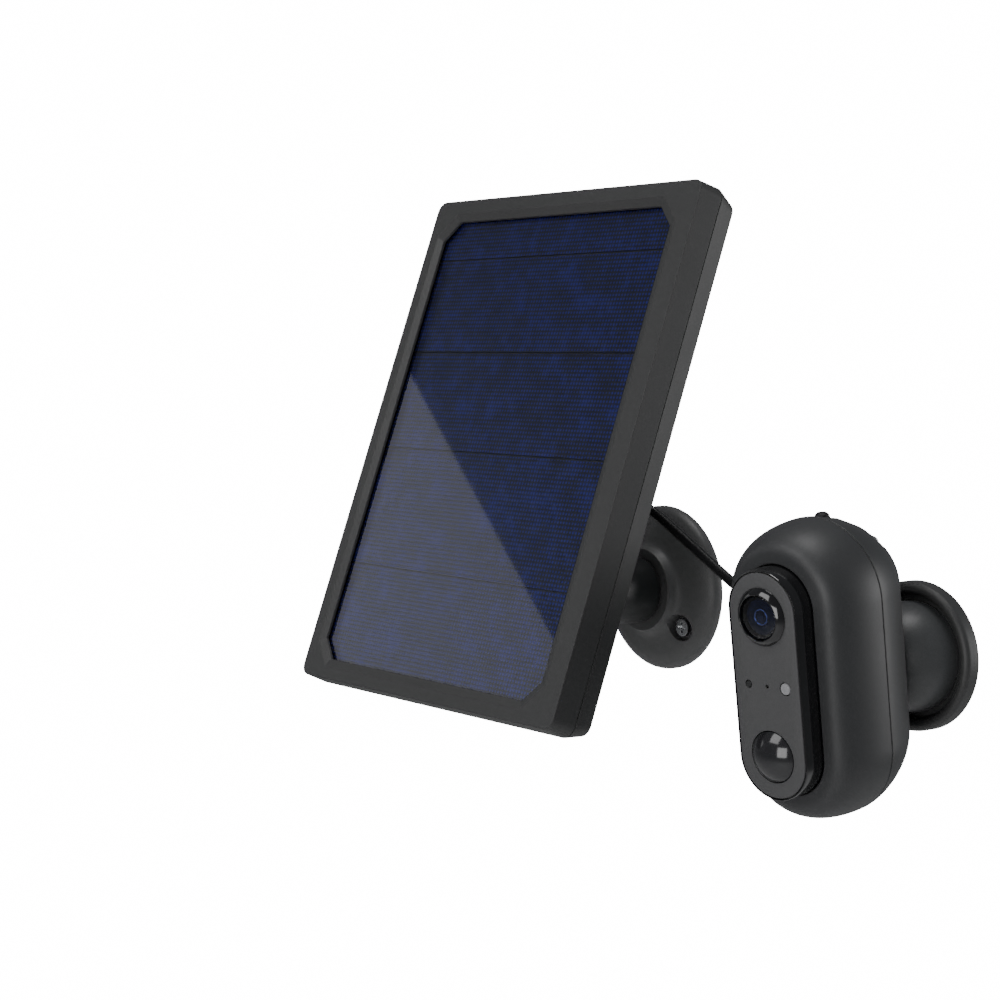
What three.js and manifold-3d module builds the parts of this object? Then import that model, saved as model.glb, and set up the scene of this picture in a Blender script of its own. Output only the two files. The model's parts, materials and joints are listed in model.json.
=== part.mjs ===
// A solar-powered security camera: a solar panel on a ball-jointed wall bracket, a pill-shaped
// battery camera on a magnetic dome mount, and the charging lead that joins them.
// Millimetres, +Z up. The wall is the plane y = 0 and everything stands off it towards -Y.
// The origin is the centre of the back face of the panel's wall base.
import * as THREE from 'three';
import { mergeVertices } from 'three/addons/utils/BufferGeometryUtils.js';
import Module from 'manifold-3d';

const wasm = await Module();
wasm.setup();

// Driving dimensions
const gap = 0.3; // clearance between neighbours
const panelWidth = 145.4;
const panelHeight = 185;
const panelDepth = 17.2;
const frameDepth = 8.9; // front edge to the split line
const frameFlare = 0.7; // how far the split line stands outside the front edge
const coverTaper = 2.2; // how far the back edge stands inside the split line
const panelCorner = 4;
const panelWall = 2.4;
const panelTilt = 20; // degrees, face turned up
const panelFaceDistance = 82.4; // wall to the centre of the panel's face
const panelFaceHeight = 56.3; // arm axis to the centre of the panel's face
const borderLeft = 4.7;
const borderRight = 8.5;
const borderTop = 5.2;
const borderBottom = 4.5;
const windowChamfer = 9;
const bevelWidth = 3;
const bevelDepth = 1.15;
const sheetThickness = 0.8;
const sheetOverlap = 1.8; // how far the laminate reaches under the lip
const cellThickness = 0.4;
const cellGap = 0.8;
const backSheetThickness = 1.2;
const cellTops = [44.2, 88.8, 126, 162.3]; // seams between the cells, above the panel's lower edge
const insertRadiusOuter = 5;
const glandX = -28;
const glandZ = -20;
const glandRadius = 3;
const glandLength = 12;
const baseRadius = 30.3;
const armBore = 10;
const armRadius = 12;
const ballDistance = 58; // wall to the centre of the bracket's ball
const ballRadius = 8;
const studRadius = 3.1; // a 1/4 inch tripod thread
const wallScrewRadius = 20.6; // bracket axis to each wall screw
const wallScrewAngle = -39;
const mountX = 122.7; // bracket axis to the axis of the camera's mount
const mountZ = -10.9;
const mountRadius = 24.4;
const domeRadius = 18;
const domeCentre = 5; // off the wall
const bodyRadius = 24.2; // half the camera's width
const bodyStretch = 45.4; // straight length between the two round ends
const bodyFront = 17.1; // rim around the face insert, ahead of the body's centre
const bodyBack = 29.25;
const rimWidth = 2.8; // flat rim around the face insert
const backRadius = 7.7; // flat round the magnetic seat
const seamPlane = 2.2;
const shellWall = 2;
const insertRadius = 13.1;
const insertDepth = 7.6;
const seatDrop = 7.5; // body centre to the magnetic seat
const seatDepth = 1.2; // how deep the dome sits in its seat
const lensRise = 2.1; // lens rim in front of the face
const domeRise = 3.5; // motion sensor's lens in front of the face
const lightX = 7;
const spotX = -7.2;
const flapY = 15;
const cameraPan = 5.1;
const cameraTilt = 7.8;
const leadRadius = 1.75;
const coilInner = 15.8;
const coilOuter = 27;
const coilFront = 63; // distance of the coil's two faces from the wall
const coilBack = 46;
const coilDrop = 1.5; // the coil hangs on the clamp ring

const colours = {
  housing: { color: 0x3a3b3c, roughness: 0.6, metalness: 0 },
  dark: { color: 0x1c1d1e, roughness: 0.5, metalness: 0 },
  gloss: { color: 0x0c0c0d, roughness: 0.12, metalness: 0 },
  rubber: { color: 0x18191a, roughness: 0.85, metalness: 0 },
  glass: { color: 0x0d1030, roughness: 0.05, metalness: 0 },
  cell: { color: 0x14163c, roughness: 0.3, metalness: 0 },
  steel: { color: 0xb8babc, roughness: 0.3, metalness: 1 },
  brass: { color: 0xb99a4a, roughness: 0.35, metalness: 1 },
  board: { color: 0x1f4a2c, roughness: 0.5, metalness: 0 },
  white: { color: 0xd8d8d4, roughness: 0.4, metalness: 0 },
  battery: { color: 0x2d5f9a, roughness: 0.4, metalness: 0 },
};

const degrees = THREE.MathUtils.degToRad;

// Solids: every geometry goes through closed(), which welds it and faces it outwards.
function closed(geometry) {
  const bare = geometry.clone();
  bare.deleteAttribute('normal');
  bare.deleteAttribute('uv');
  const welded = mergeVertices(bare, 1e-4);
  const position = welded.attributes.position;
  const kept = [];
  let volume = 0;
  const corners = [new THREE.Vector3(), new THREE.Vector3(), new THREE.Vector3()];
  for (let i = 0; i < welded.index.count; i += 3) {
    const [a, b, c] = [0, 1, 2].map((k) => welded.index.getX(i + k));
    if (a === b || b === c || c === a) continue;
    kept.push(a, b, c);
    [a, b, c].forEach((vertex, k) => corners[k].fromBufferAttribute(position, vertex));
    volume += corners[0].dot(corners[1].clone().cross(corners[2]));
  }
  if (volume < 0) {
    for (let i = 0; i < kept.length; i += 3) [kept[i], kept[i + 1]] = [kept[i + 1], kept[i]];
  }
  welded.setIndex(kept);
  return welded;
}

function toManifold(geometry) {
  const ready = closed(geometry);
  return new wasm.Manifold(new wasm.Mesh({
    numProp: 3,
    vertProperties: new Float32Array(ready.attributes.position.array),
    triVerts: new Uint32Array(ready.index.array),
  }));
}

function fromManifold(manifold) {
  const mesh = manifold.getMesh();
  const geometry = new THREE.BufferGeometry();
  geometry.setAttribute('position', new THREE.BufferAttribute(new Float32Array(mesh.vertProperties), 3));
  geometry.setIndex(Array.from(mesh.triVerts));
  return geometry;
}

function cut(geometry, ...tools) {
  let result = toManifold(geometry);
  for (const tool of tools) result = result.subtract(toManifold(tool));
  return fromManifold(result);
}

function join(geometry, ...others) {
  let result = toManifold(geometry);
  for (const other of others) result = result.add(toManifold(other));
  return fromManifold(result);
}

function common(geometry, other) {
  return fromManifold(toManifold(geometry).intersect(toManifold(other)));
}

// Shapes. Outlines lie in the XZ plane and are given depth along Y.
function slab(shape, front, back) {
  const geometry = new THREE.ExtrudeGeometry(shape, {
    depth: back - front, bevelEnabled: false, curveSegments: 3,
  });
  return geometry.rotateX(Math.PI / 2).translate(0, back, 0);
}

function roundedOutline(width, height, radius) {
  const [x, z] = [width / 2 - radius, height / 2 - radius];
  const shape = new THREE.Shape();
  shape.absarc(x, z, radius, 0, 0.5 * Math.PI);
  shape.absarc(-x, z, radius, 0.5 * Math.PI, Math.PI);
  shape.absarc(-x, -z, radius, Math.PI, 1.5 * Math.PI);
  shape.absarc(x, -z, radius, 1.5 * Math.PI, 2 * Math.PI);
  return shape;
}

// The slab between two outlines that have the same number of points.
function loft(frontShape, backShape, front, back) {
  const geometry = slab(frontShape, front, back);
  const [from, to] = [frontShape, backShape].map((shape) => shape.getPoints(3));
  const position = geometry.attributes.position;
  for (let i = 0; i < position.count; i += 1) {
    if (position.getY(i) < (front + back) / 2) continue;
    const here = new THREE.Vector2(position.getX(i), position.getZ(i));
    const distances = from.map((point) => point.distanceTo(here));
    const match = to[distances.indexOf(Math.min(...distances))];
    position.setX(i, match.x);
    position.setZ(i, match.y);
  }
  return geometry;
}

function box(width, depth, height, x = 0, y = 0, z = 0) {
  return new THREE.BoxGeometry(width, depth, height).translate(x, y, z);
}

// A rod along Y from `front` to `back`.
function rod(radius, front, back, x = 0, z = 0, sides = 20) {
  return new THREE.CylinderGeometry(radius, radius, back - front, sides)
    .translate(x, (front + back) / 2, z);
}

// A body turned about Y from a profile of [radius, y] points.
function turned(profile, segments = 24) {
  return new THREE.LatheGeometry(profile.map(([r, y]) => new THREE.Vector2(r, y)), segments);
}

// The same, pulled apart along Z so that its plan is a stadium.
function stretched(profile, segments = 24) {
  const geometry = new THREE.LatheGeometry(
    profile.map(([r, y]) => new THREE.Vector2(r, y)), segments, Math.PI / segments);
  const position = geometry.attributes.position;
  for (let i = 0; i < position.count; i += 1) {
    const column = Math.floor(i / profile.length) % segments;
    const side = Math.sign(Math.cos(((column + 0.5) * 2 * Math.PI) / segments));
    position.setZ(i, position.getZ(i) + (side * bodyStretch) / 2);
  }
  return geometry;
}

function arcProfile(radius, centre, from, to, count) {
  const points = [];
  for (let i = 0; i <= count; i += 1) {
    const angle = degrees(from + ((to - from) * i) / count);
    points.push([Math.abs(radius * Math.sin(angle)), centre - radius * Math.cos(angle)]);
  }
  return points;
}

// Half of the camera's profile: it falls from `radius` at the seam (share 0) to a flat end
// (share 1). A larger `power` makes the shoulder squarer.
function shellRadius(share, radius, end, power) {
  return end + (radius - end) * (1 - share ** power) ** (1 / power);
}

function shellProfile(radius, end, power, start, reach, count) {
  return Array.from({ length: count + 1 }, (_, i) => {
    const share = Math.sin((0.5 * Math.PI * i) / count);
    return [shellRadius(share, radius, end, power), start + reach * share];
  });
}

// A cross-head screw along Y with its head's face at y = 0.
function screw(headRadius, headHeight, shankRadius, length) {
  const solid = join(rod(headRadius, 0, headHeight, 0, 0, 16),
    rod(shankRadius, headHeight / 2, length, 0, 0, 8));
  const slot = headRadius * 1.2;
  return cut(solid, box(slot, headHeight, slot * 0.26), box(slot * 0.26, headHeight, slot));
}

function tube(points, radius, sides, spacing) {
  const curve = new THREE.CatmullRomCurve3(points.map((point) => new THREE.Vector3(...point)));
  const corners = Array.from({ length: sides }, (_, i) => new THREE.Vector2(
    radius * Math.cos((2 * Math.PI * i) / sides), radius * Math.sin((2 * Math.PI * i) / sides)));
  return new THREE.ExtrudeGeometry(new THREE.Shape(corners), {
    extrudePath: curve, steps: Math.round(curve.getLength() / spacing),
  });
}

const group = new THREE.Group();
const wallSide = new THREE.Group();
const bracketBall = new THREE.Group();
const panel = new THREE.Group();
const cameraMount = new THREE.Group();
const cameraHead = new THREE.Group();
const camera = new THREE.Group();
group.add(wallSide, bracketBall, panel, cameraMount, cameraHead);
cameraHead.add(camera);

bracketBall.position.set(0, -ballDistance, 0);
bracketBall.rotation.x = -degrees(panelTilt);
panel.position.set(0, -panelFaceDistance, panelFaceHeight);
panel.rotation.x = -degrees(panelTilt);
cameraMount.position.set(mountX, 0, mountZ);
cameraHead.position.set(mountX, -domeCentre, mountZ);
cameraHead.rotation.set(degrees(cameraTilt), 0, degrees(cameraPan), 'ZXY');
const domeFromBody = bodyBack - seatDepth + domeRadius; // body centre to dome centre, along the axis
camera.position.set(0, -domeFromBody, seatDrop);

function piece(parent, name, geometry, colour, at = [0, 0, 0]) {
  const mesh = new THREE.Mesh(closed(geometry), new THREE.MeshStandardMaterial(colours[colour]));
  mesh.name = name;
  mesh.position.set(...at);
  parent.add(mesh);
}

// Solar panel. Its own frame has the face at y = 0 and the back at y = panelDepth.
const [halfW, halfH] = [panelWidth / 2, panelHeight / 2];
const lip = 1; // thickness of the face behind the bevel
const sheetFront = bevelDepth + lip + gap;
const cellFront = sheetFront + sheetThickness + gap;
const backSheetFront = cellFront + cellThickness + gap;
const sealFront = backSheetFront + backSheetThickness + gap;
const coverFront = frameDepth + gap;
const ballFromFace = panelFaceDistance * Math.cos(degrees(panelTilt))
  - ballDistance * Math.cos(degrees(panelTilt)) + panelFaceHeight * Math.sin(degrees(panelTilt));
const studHeight = (panelFaceDistance - ballDistance) * Math.sin(degrees(panelTilt))
  - panelFaceHeight * Math.cos(degrees(panelTilt));
const screwCorners = [[-1, -1], [1, -1], [1, 1], [-1, 1]].map(([x, z]) => [x * (halfW - 6), z * (halfH - 6)]);

// The window's outline, moved inwards by `inset`.
function windowOutline(inset) {
  const [left, right] = [borderLeft - halfW + inset, halfW - borderRight - inset];
  const [bottom, top] = [borderBottom - halfH + inset, halfH - borderTop - inset];
  const leg = windowChamfer - inset * (2 - Math.SQRT2);
  return new THREE.Shape([
    [right, bottom + leg], [right, top - leg], [right - leg, top], [left + leg, top],
    [left, top - leg], [left, bottom + leg], [left + leg, bottom], [right - leg, bottom],
  ].map(([x, z]) => new THREE.Vector2(x, z)));
}

function buildFrame() {
  const splitShape = roundedOutline(panelWidth + 2 * frameFlare, panelHeight + 2 * frameFlare,
    panelCorner + frameFlare);
  const outer = loft(roundedOutline(panelWidth, panelHeight, panelCorner), splitShape, 0, frameDepth);
  const inside = roundedOutline(panelWidth - 2 * panelWall, panelHeight - 2 * panelWall, panelCorner - 1.5);
  const mouth = loft(windowOutline(-bevelWidth), windowOutline(bevelWidth), -bevelDepth, bevelDepth);
  const bosses = screwCorners.map(([x, z]) => rod(3, bevelDepth, frameDepth - 0.4, x, z, 10));
  const holes = screwCorners.map(([x, z]) => rod(1.6, bevelDepth + 2, frameDepth, x, z, 8));
  const hollowed = cut(outer, slab(inside, bevelDepth + lip, frameDepth + 1));
  piece(panel, 'panel_frame', cut(join(hollowed, ...bosses), mouth,
    slab(windowOutline(bevelWidth), 0, bevelDepth + lip + 1), ...holes), 'housing');
}

function buildLaminate() {
  const laid = windowOutline(bevelWidth - sheetOverlap);
  piece(panel, 'cover_glass', slab(laid, sheetFront, sheetFront + sheetThickness), 'glass');
  const bed = slab(laid, cellFront, cellFront + cellThickness);
  const edges = [borderBottom, ...cellTops, panelHeight - borderTop];
  for (let i = 1; i < edges.length; i += 1) {
    const [low, high] = [edges[i - 1] - halfH + cellGap / 2, edges[i] - halfH - cellGap / 2];
    const strip = box(panelWidth, 4, high - low, 0, cellFront, (low + high) / 2);
    piece(panel, `solar_cell_${i}`, common(bed, strip), 'cell');
  }
  piece(panel, 'back_sheet', slab(laid, backSheetFront, backSheetFront + backSheetThickness), 'white');
  const seal = cut(slab(laid, sealFront, frameDepth),
    slab(windowOutline(bevelWidth + 2), sealFront - 1, frameDepth + 1));
  piece(panel, 'panel_seal', seal, 'rubber');
}

function buildBackCover() {
  const split = [panelWidth + 2 * frameFlare, panelHeight + 2 * frameFlare];
  const tray = loft(roundedOutline(...split, panelCorner + frameFlare),
    roundedOutline(split[0] - 2 * coverTaper, split[1] - 2 * coverTaper, panelCorner),
    coverFront, panelDepth);
  const hollow = slab(roundedOutline(split[0] - 4 * panelWall, split[1] - 4 * panelWall, 2),
    coverFront - 1, panelDepth - panelWall);
  const posts = screwCorners.map(([x, z]) => rod(3.4, coverFront, panelDepth - 1, x, z, 10));
  const boss = rod(insertRadiusOuter + 3, coverFront + 1, panelDepth - 1, 0, studHeight, 24);
  const counterbores = screwCorners.map(([x, z]) => rod(2.8, panelDepth - 2.6, panelDepth + 1, x, z, 12));
  const shankHoles = screwCorners.map(([x, z]) => rod(1.6, coverFront - 1, panelDepth, x, z, 8));
  const openings = [
    rod(insertRadiusOuter + gap, coverFront, panelDepth + 1, 0, studHeight, 24),
    rod(glandRadius + gap, coverFront, panelDepth + 1, glandX, glandZ, 16),
  ];
  piece(panel, 'back_cover', cut(join(cut(tray, hollow), ...posts, boss),
    ...counterbores, ...shankHoles, ...openings), 'housing');
  screwCorners.forEach(([x, z], i) => {
    const fixing = screw(2.4, 1.6, 1.2, 9.5).rotateX(Math.PI);
    piece(panel, `cover_screw_${i + 1}`, fixing, 'steel', [x, panelDepth - 0.6, z]);
  });
  const insert = cut(rod(insertRadiusOuter, coverFront + 0.6, panelDepth, 0, studHeight),
    rod(studRadius + gap, coverFront - 1, panelDepth + 1, 0, studHeight));
  piece(panel, 'thread_insert', insert, 'brass');
  piece(panel, 'charge_board', box(34, 1.6, 22, 10, panelDepth - panelWall - 3.5, glandZ + 4), 'board');
  // The gland's tail tapers to the lead.
  piece(panel, 'cable_gland', turned([
    [0, panelDepth - 4], [glandRadius, panelDepth - 4], [glandRadius, panelDepth + gap],
    [5, panelDepth + gap], [5, panelDepth + 1.8], [3.4, panelDepth + 2.4],
    [2.4, panelDepth + glandLength], [0, panelDepth + glandLength],
  ], 16), 'rubber', [glandX, 0, glandZ]);
}

// Wall bracket: a bell-shaped base, a swivelling arm and a ball with the panel's stud.
function buildWallBase() {
  const profile = [[armBore, -3.3], [13.3, -3.3], [13.3, 0], [baseRadius, 0], [baseRadius, -1.8],
    [29.7, -3.2], [28.4, -4.6], [26, -6], [20, -7.9], [17.6, -8.8], [16.2, -10], [15.2, -13],
    [armBore, -13]];
  const angles = [wallScrewAngle, wallScrewAngle + 180].map(degrees);
  const spots = angles.map((a) => [wallScrewRadius * Math.cos(a), wallScrewRadius * Math.sin(a)]);
  const recesses = spots.map(([x, z]) => rod(4.9, -12, -4.4, x, z, 14));
  const holes = spots.map(([x, z]) => rod(2.3, -6, 1, x, z, 12));
  piece(wallSide, 'wall_base', cut(turned([...profile, profile[0]], 32), ...recesses, ...holes), 'housing');
  spots.forEach(([x, z], i) => {
    piece(wallSide, `wall_screw_${i + 1}`, screw(3.2, 2.2, 2, 6.6), 'steel', [x, -6.9, z]);
  });
}

function buildArm() {
  const socket = ballRadius + gap;
  const end = -ballDistance - 1.7;
  const rim = Math.sqrt(socket ** 2 - 1.7 ** 2);
  const bottom = arcProfile(socket, -ballDistance, Math.asin(rim / socket) * (180 / Math.PI), 180, 5);
  piece(wallSide, 'bracket_arm', turned([
    [0, -0.8], [13, -0.8], [13, -3], [armBore - gap, -3], [armBore - gap, -13 - gap],
    [armRadius - 0.8, -13 - gap], [armRadius, -14.4], [armRadius, end + 11], [armRadius - 0.4, end],
    ...bottom,
  ]), 'dark');
  const lipY = -ballDistance - 3.6;
  const lipRadius = Math.sqrt(socket ** 2 - 3.6 ** 2);
  const ring = turned([
    [armRadius + gap, end + 9.4], [armRadius + 2, end + 9.4], [armRadius + 2, lipY], [lipRadius, lipY],
    [socket - 0.35, end - gap], [armRadius + gap, end - gap], [armRadius + gap, end + 9.4],
  ]);
  piece(wallSide, 'clamp_ring', ring, 'dark');
}

function buildBall() {
  const nutFront = -(ballFromFace - panelDepth - gap);
  const reach = -(ballFromFace - coverFront - 0.6);
  piece(bracketBall, 'ball_stud', join(new THREE.SphereGeometry(ballRadius, 16, 10),
    rod(4, -15, -5, 0, 0, 12), rod(studRadius, reach, -14, 0, 0, 12)), 'steel');
  const grips = Array.from({ length: 10 }, (_, i) => {
    const a = (2 * Math.PI * i) / 10;
    return rod(1.2, nutFront - 1, nutFront + 6, 10 * Math.cos(a), 10 * Math.sin(a), 6);
  });
  piece(bracketBall, 'lock_nut', cut(rod(9.5, nutFront, nutFront + 5, 0, 0, 30),
    rod(studRadius + gap, nutFront - 1, nutFront + 6, 0, 0, 12), ...grips), 'dark');
}

// Camera mount: a rimmed disc on the wall and a steel dome that the camera clings to.
function buildMount() {
  const plate = turned([[0, 0], [mountRadius, 0], [mountRadius, -3.6], [mountRadius - 0.4, -5.2],
    [mountRadius - 1.7, -6], [mountRadius - 3.2, -5.6], [mountRadius - 4.5, -1.8],
    [3, -1.8], [3, -domeCentre - domeRadius + 2], [0, -domeCentre - domeRadius + 2]], 32);
  const holes = [-1, 1].map((side) => rod(1.9, -4, 1, side * 9, 0, 10));
  piece(cameraMount, 'mount_base', cut(plate, ...holes), 'housing');
  [-1, 1].forEach((side, i) => {
    piece(cameraMount, `mount_screw_${i + 1}`, screw(3.2, 1.7, 1.6, 4), 'steel', [side * 9, -3.9, 0]);
  });
  const thickness = 1.2;
  const edge = (radius) => (Math.acos((2.1 - domeCentre) / radius) * 180) / Math.PI;
  const outside = arcProfile(domeRadius, -domeCentre, 0, edge(domeRadius), 8);
  const inside = arcProfile(domeRadius - thickness, -domeCentre, edge(domeRadius - thickness), 0, 5);
  piece(cameraMount, 'steel_dome', turned([...outside, ...inside], 28), 'steel');
}

// Camera. Its own frame has the lens axis along -Y and the body's centre at the origin.
const frontPower = 2.2;
const rearPower = 1.5;
const rimRadius = insertRadius + rimWidth;
const rearStart = seamPlane + gap;
const frontReach = seamPlane + bodyFront;
const lensHeight = bodyStretch / 2 - 1.2;
const sensorHeight = 0.7 - bodyStretch / 2;
const facePlane = -bodyFront - insertDepth;
const seatPocket = 7.4;
const crown = bodyStretch / 2 + bodyRadius; // height of the body's top
const screwPost = 2.4;
const screwRing = insertRadius + 1.6 + gap + screwPost; // shell screws stand around the face insert
const screwSpread = degrees(38);
const shellScrews = [-1, 1].map((side) => [
  side * screwRing * Math.sin(screwSpread), bodyStretch / 2 + screwRing * Math.cos(screwSpread),
]);
shellScrews.push([0, -bodyStretch / 2 - screwRing]);
const cellRadius = (bodyRadius - 6.2) / 2;
const cellLength = bodyStretch + 19.6;
const screwSeat = 15.6;
const screwLength = 21;
const buttonY = seamPlane + 4.8;
const rearReach = bodyBack - rearStart;
const buttonTop = bodyStretch / 2
  + shellRadius((buttonY - rearStart) / rearReach, bodyRadius, backRadius, rearPower);
const portY = 17;
const portHeight = 16;
const gripThickness = 6.6;
const portX = -gap - shellRadius((portY - gripThickness / 2 - rearStart) / rearReach, bodyRadius,
  backRadius, rearPower); // inner end of the plug's grip
const bootLength = 18; // the plug's grip and tapered boot

// The rear shell's whole volume, grown by `offset`, with its open face at `start`.
function rearVolume(offset, start = rearStart) {
  const curve = shellProfile(bodyRadius + offset, backRadius + offset / 2, rearPower,
    rearStart, rearReach + offset, 6);
  return stretched([[0, start], [bodyRadius + offset, start], ...curve, [0, bodyBack + offset]]);
}

function buildFrontShell() {
  const outside = shellProfile(bodyRadius, rimRadius, frontPower, seamPlane, -frontReach, 6);
  const inside = shellProfile(bodyRadius - shellWall, rimRadius - 0.6, frontPower,
    seamPlane, shellWall - frontReach, 4);
  const mouth = insertRadius + gap;
  const front = stretched([...outside, [mouth, -bodyFront], [mouth, shellWall - bodyFront],
    ...inside.reverse(), outside[0]]);
  const postFront = 2.6 - bodyFront;
  const posts = shellScrews.map(([x, z]) => rod(screwPost, postFront, 0.1, x, z, 10));
  const pilots = shellScrews.map(([x, z]) => rod(1.4, postFront + 4, seamPlane, x, z, 8));
  piece(camera, 'front_shell', cut(join(front, ...posts), ...pilots), 'housing');
}

function buildRearShell() {
  const wall = cut(rearVolume(0), rearVolume(-shellWall, rearStart - 1));
  const inner = rearVolume(-0.4);
  const posts = shellScrews.map(([x, z]) => rod(screwPost + 1, rearStart + 1, bodyBack, x, z, 12));
  const seatBoss = rod(seatPocket + 2, bodyBack - 6.2, bodyBack, 0, -seatDrop, 20);
  const bosses = [seatBoss, ...posts].map((boss) => common(boss, inner));
  const flapPocket = cut(common(rearVolume(3), box(14.6, 9.6, 20, 0, flapY, crown)), rearVolume(-1.5));
  const beyond = bodyBack + 1;
  const openings = [
    rod(seatPocket, bodyBack - 4.2, beyond, 0, -seatDrop, 20),
    flapPocket,
    box(11, 2.4, 20, 0, flapY, crown - 1),
    box(16, 4, 9.2, portX + 1, portY, portHeight),
    new THREE.CylinderGeometry(2.8, 2.8, 12, 16).rotateX(Math.PI / 2).translate(0, buttonY, buttonTop),
    ...shellScrews.map(([x, z]) => rod(1.5, 0, beyond, x, z, 8)),
    ...shellScrews.map(([x, z]) => rod(2.7, screwSeat, beyond, x, z, 12)),
  ];
  piece(camera, 'rear_shell', cut(join(wall, ...bosses), ...openings), 'housing');
  const skin = cut(rearVolume(0.3), rearVolume(-0.9));
  piece(camera, 'card_flap', common(skin, box(14, 9, 20, 0, flapY, crown)), 'rubber');
  shellScrews.forEach(([x, z], i) => {
    const fixing = screw(2.3, 1.6, 1.1, screwLength).rotateX(Math.PI);
    piece(camera, `shell_screw_${i + 1}`, fixing, 'steel', [x, screwSeat + 1.9, z]);
  });
  const sealRadius = bodyRadius - shellWall - gap;
  const seal = stretched([[sealRadius - 0.6, 0.4], [sealRadius, 0.4], [sealRadius - 0.1, 3.2],
    [sealRadius - 0.9, 3.2], [sealRadius - 0.6, 0.4]]);
  piece(camera, 'shell_seal', cut(seal, ...shellScrews.map(([x, z]) => rod(1.5, 0, 4, x, z, 8))), 'rubber');
  const seatBack = bodyBack - 0.2;
  piece(camera, 'seat_magnet', cut(rod(seatPocket - gap, bodyBack - 3.9, seatBack, 0, -seatDrop, 20),
    new THREE.SphereGeometry(domeRadius + gap, 24, 16).translate(0, domeFromBody, -seatDrop)), 'steel');
}

function buildFace() {
  const wall = insertRadius;
  const flange = shellWall + gap - bodyFront;
  const insert = stretched([[0, facePlane + 0.9], [wall - 0.5, facePlane + 0.9],
    [wall - 0.45, facePlane + 0.1], [wall - 0.2, facePlane + 0.1],
    [wall, facePlane + 0.8], [wall, flange], [wall + 1.5, flange], [wall + 1.5, flange + 1.2],
    [wall - 1.4, flange + 1.2], [wall - 1.4, facePlane + 2.2],
    [0, facePlane + 2.2]]);
  const through = (radius, x, z, sides) => rod(radius, facePlane - 1, facePlane + 4, x, z, sides);
  const holes = [through(8.2, 0, lensHeight, 24), through(8.2, 0, sensorHeight, 24),
    through(2.1, lightX, 0, 12), through(1.3, spotX, 0, 10), through(0.6, 0, 0, 8)];
  piece(camera, 'front_insert', cut(insert, ...holes), 'gloss');
  const plate = stretched([[0, facePlane], [wall - 0.8, facePlane], [wall - 0.8, facePlane + 0.6],
    [0, facePlane + 0.6]]);
  piece(camera, 'face_plate', cut(plate, ...holes), 'housing');
  piece(camera, 'status_light', rod(1.8, facePlane - 0.1, facePlane + 5, lightX, 0, 12), 'white');
  piece(camera, 'light_sensor', rod(1, facePlane, facePlane + 5, spotX, 0, 10), 'dark');
  piece(camera, 'microphone', rod(2.2, facePlane + 2.5, facePlane + 5, 0, 0, 12), 'steel');
}

function buildOptics() {
  const front = facePlane - lensRise;
  piece(camera, 'lens_ring', turned([[6.9, front], [7.3, front], [9, facePlane - gap], [7.9, facePlane - gap],
    [7.9, facePlane + 3], [6.9, facePlane + 3], [6.9, front]], 24), 'gloss', [0, 0, lensHeight]);
  piece(camera, 'lens_glass', turned([[0, front + 0.2], [4, front + 0.35], [6.6, front + 0.8],
    [6.6, front + 1.6], [0, front + 1.6]], 24), 'glass', [0, 0, lensHeight]);
  piece(camera, 'lens_barrel', turned([[0, front + 3.2], [1.8, front + 2.4], [2.2, front + 1.9],
    [5.5, front + 1.9], [5.5, facePlane + 4], [6.6, facePlane + 4], [6.6, facePlane + 8],
    [0, facePlane + 8]], 20), 'dark', [0, 0, lensHeight]);
  const sensorBoard = join(box(15, 1.2, 16, 0, facePlane + 9.6, 0), box(8, 0.9, 6, 0, facePlane + 8.8, 0));
  piece(camera, 'sensor_board', sensorBoard, 'board', [0, 0, lensHeight]);
  // The motion sensor looks out through a thin domed lens.
  const cap = 7.9;
  const sphere = (cap ** 2 + domeRise ** 2) / (2 * domeRise);
  const half = (Math.asin(cap / sphere) * 180) / Math.PI;
  const centre = facePlane - domeRise + sphere;
  piece(camera, 'motion_lens', turned([...arcProfile(sphere, centre, 0, half, 4), [cap, facePlane + 3],
    [cap - 0.8, facePlane + 3], [cap - 0.8, facePlane],
    ...arcProfile(sphere - 0.8, centre, half * 0.88, 0, 3)], 20), 'gloss', [0, 0, sensorHeight]);
  piece(camera, 'motion_sensor', turned([[0, facePlane + 3.6], [4.2, facePlane + 3.6], [4.2, facePlane + 7],
    [4.7, facePlane + 7], [4.7, facePlane + 8], [0, facePlane + 8]], 16), 'steel', [0, 0, sensorHeight]);
}

function buildElectronics() {
  const boardY = 6 - bodyFront;
  const inside = shellRadius((seamPlane - boardY) / (frontReach - shellWall), bodyRadius - shellWall,
    rimRadius - 0.6, frontPower);
  piece(camera, 'main_board', box(2 * (inside - 3), 1.6, bodyStretch + 12.6, 0, boardY, 0), 'board');
  piece(camera, 'speaker', turned([[0, -2], [5, -2], [7, -1.2], [7, 2], [0, 2]], 16),
    'dark', [0, facePlane + 8, -4]);
  [-1, 1].forEach((side, i) => {
    const cell = new THREE.CylinderGeometry(cellRadius, cellRadius, cellLength, 16).rotateX(Math.PI / 2);
    const place = [side * (cellRadius + 0.4), cellRadius - 6.7, 0];
    piece(camera, `battery_${i + 1}`, cell, 'battery', place);
  });
  const button = turned([[0, -1.5], [1.4, -1.3], [2.2, -0.6], [2.5, 0.4], [2.5, 4], [3.4, 4], [3.4, 5],
    [1.2, 5], [1.2, 6.2], [0, 6.2]], 16).rotateX(-Math.PI / 2);
  piece(camera, 'top_button', button, 'rubber', [0, buttonY, buttonTop]);
  piece(camera, 'button_switch', box(6, 6, 3.4, 0, buttonY, buttonTop - 9), 'dark');
  piece(camera, 'usb_port', cut(box(6.5, 3.4, 8.6, portX + 5.8, portY, portHeight),
    box(6, 2.4, 7.6, portX + 4.4, portY, portHeight)), 'steel');
}

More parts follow.
